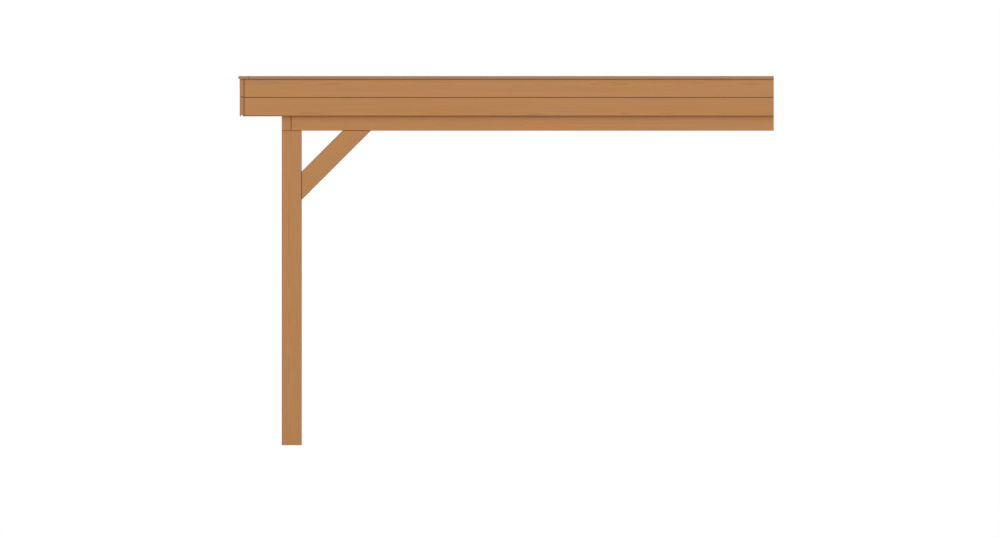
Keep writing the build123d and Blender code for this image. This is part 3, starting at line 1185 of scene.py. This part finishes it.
def floor_place(i, j):
    """A point of the grid: column i from the left, row j from the front."""
    x = -floor_half + 2 * floor_half * i / columns
    y = floor_front + (floor_back - floor_front) * j / rows
    edge = min(i, columns - i, j, rows - j)
    lift = ripple(x, y) if edge else -TUCK
    return Vector((x, y, deck_top(y) + SHEET + lift))


patch_left = int((outlet_x - PATCH_MARGIN + floor_half) / (2 * floor_half) * columns)
patch_right = patch_left + PATCH_CELLS
patch_y = outlet_y - PATCH_MARGIN
patch_front = int((patch_y - floor_front) / (floor_back - floor_front) * rows)
patch_back = patch_front + PATCH_CELLS
grid = []
for j in range(rows + 1):
    grid.append(membrane.loop([floor_place(i, j) for i in range(columns + 1)]))
for j in range(rows):
    for i in range(columns):
        if patch_left <= i < patch_right and patch_front <= j < patch_back:
            continue
        membrane.face((grid[j][i], grid[j][i + 1], grid[j + 1][i + 1], grid[j + 1][i]))
patch = [grid[patch_front][i] for i in range(patch_left, patch_right)]
patch += [grid[j][patch_right] for j in range(patch_front, patch_back)]
patch += [grid[patch_back][i] for i in range(patch_right, patch_left, -1)]
patch += [grid[j][patch_left] for j in range(patch_back, patch_front, -1)]
pipe_rim = []
for step in range(2 * HALF_CIRCLE_STEPS):
    angle = -math.pi * step / HALF_CIRCLE_STEPS
    x = outlet_x + PIPE_RADIUS * math.cos(angle)
    y = outlet_y + PIPE_RADIUS * math.sin(angle)
    pipe_rim.append(Vector((x, y, deck_top(y) + SHEET)))
pierced_face(membrane, patch, [membrane.loop(pipe_rim)], Z)

# Folded corners of the sheet, laid against the front kerb
for side in (-1, 1):
    fold_x = side * (kerb_inner - SHEET - FOLD_INSET)
    fold_low = deck_top(kerb_front) + SHEET + COVE
    fold_height = sheet_high.z - fold_low - FOLD_GAP
    fold = [(0, 0), (FOLD_WIDTH, fold_height), (0, fold_height)]
    cuts = (flat(min(0.0, side * SHEET)), flat(max(0.0, side * SHEET)))
    place = Vector((fold_x, kerb_front + SHEET, fold_low))
    membrane.prism(place, Y * side, X * -side, (fold, FOLD_ROUNDING, FOLD_EASE), cuts)
sheet_look = (membrane_rubber, membrane_rubber)
membrane.piece("roof_sheet", sheet_look, "membrane", "membrane", crease=SHEET_CREASE)

# Nodes that keep their CAD meshes
kept = {
    "wall_plate": kept_x_wood,
    "front_kerb": kept_x_wood,
    "wall_kerb": kept_x_wood,
    "left_kerb": kept_y_wood,
    "right_kerb": kept_y_wood,
    "firrings": kept_y_wood,
    "roof_outlet": outlet_plastic,
    "leaf_guard": outlet_plastic,
}
for name, material in kept.items():
    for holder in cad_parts[name].material_slots:
        holder.link = "OBJECT"
        holder.material = material

# Floor under the posts
FLOOR_SIZE = 400
floor_material = blank_material("pale_floor")
tree = floor_material.node_tree
place = node(tree, "TexCoord").outputs["Object"]
cloud = noise(tree, stretch(tree, place, (0.5, 0.5, 0.5)), 3).outputs["Fac"]
floor_colour = mix(tree, cloud, *FLOOR_GREYS)
surface(tree, {"Base Color": floor_colour, "Roughness": 0.9})
bpy.ops.mesh.primitive_plane_add(size=FLOOR_SIZE, location=(0, 0, ground))
floor = bpy.context.object
floor.name = "floor"
floor.data.materials.append(floor_material)

# Light: an even white sky and a soft sun from the front right
SKY = 0.86
SUN = 0.52
SUN_ANGLE = 25
SUN_FROM = Vector((1, -0.70, 0.28))
world = bpy.data.worlds.new("sky")
bpy.context.scene.world = world
world.use_nodes = True
tree = world.node_tree
tree.nodes.clear()
path = node(tree, "LightPath").outputs
shown = maths(tree, "MAXIMUM", path["Is Camera Ray"], path["Is Glossy Ray"])
sky_level = maths(tree, "MULTIPLY_ADD", shown, 1 - SKY, SKY)
sky_colour = node(tree, "CombineColor", {"Red": sky_level, "Green": sky_level, "Blue": sky_level})
sky = node(tree, "Background", {"Color": sky_colour.outputs[0], "Strength": 1.0})
node(tree, "OutputWorld", {"Surface": sky.outputs[0]})

sun = bpy.data.lights.new("sun", "SUN")
sun.energy = SUN
sun.angle = math.radians(SUN_ANGLE)
sun_object = bpy.data.objects.new("sun", sun)
bpy.context.scene.collection.objects.link(sun_object)
sun_object.rotation_euler = SUN_FROM.normalized().to_track_quat("Z", "Y").to_euler()

# Camera: the photograph's side elevation
CAMERA_DISTANCE = 12
CLIP_END = 200
camera = bpy.data.cameras.new("camera")
camera.type = "ORTHO"
camera.ortho_scale = PHOTO_WIDTH * METRES_PER_PIXEL
camera.clip_end = CLIP_END
camera_object = bpy.data.objects.new("camera", camera)
bpy.context.scene.collection.objects.link(camera_object)
camera_y = (PHOTO_WIDTH / 2 - WALL_COLUMN) * METRES_PER_PIXEL
camera_z = ground + (GROUND_ROW - PHOTO_HEIGHT / 2) * METRES_PER_PIXEL
camera_object.location = (CAMERA_DISTANCE, camera_y, camera_z)
camera_object.rotation_euler = (math.radians(90), 0, math.radians(90))
scene = bpy.context.scene
scene.camera = camera_object
scene.view_settings.view_transform = "Standard"
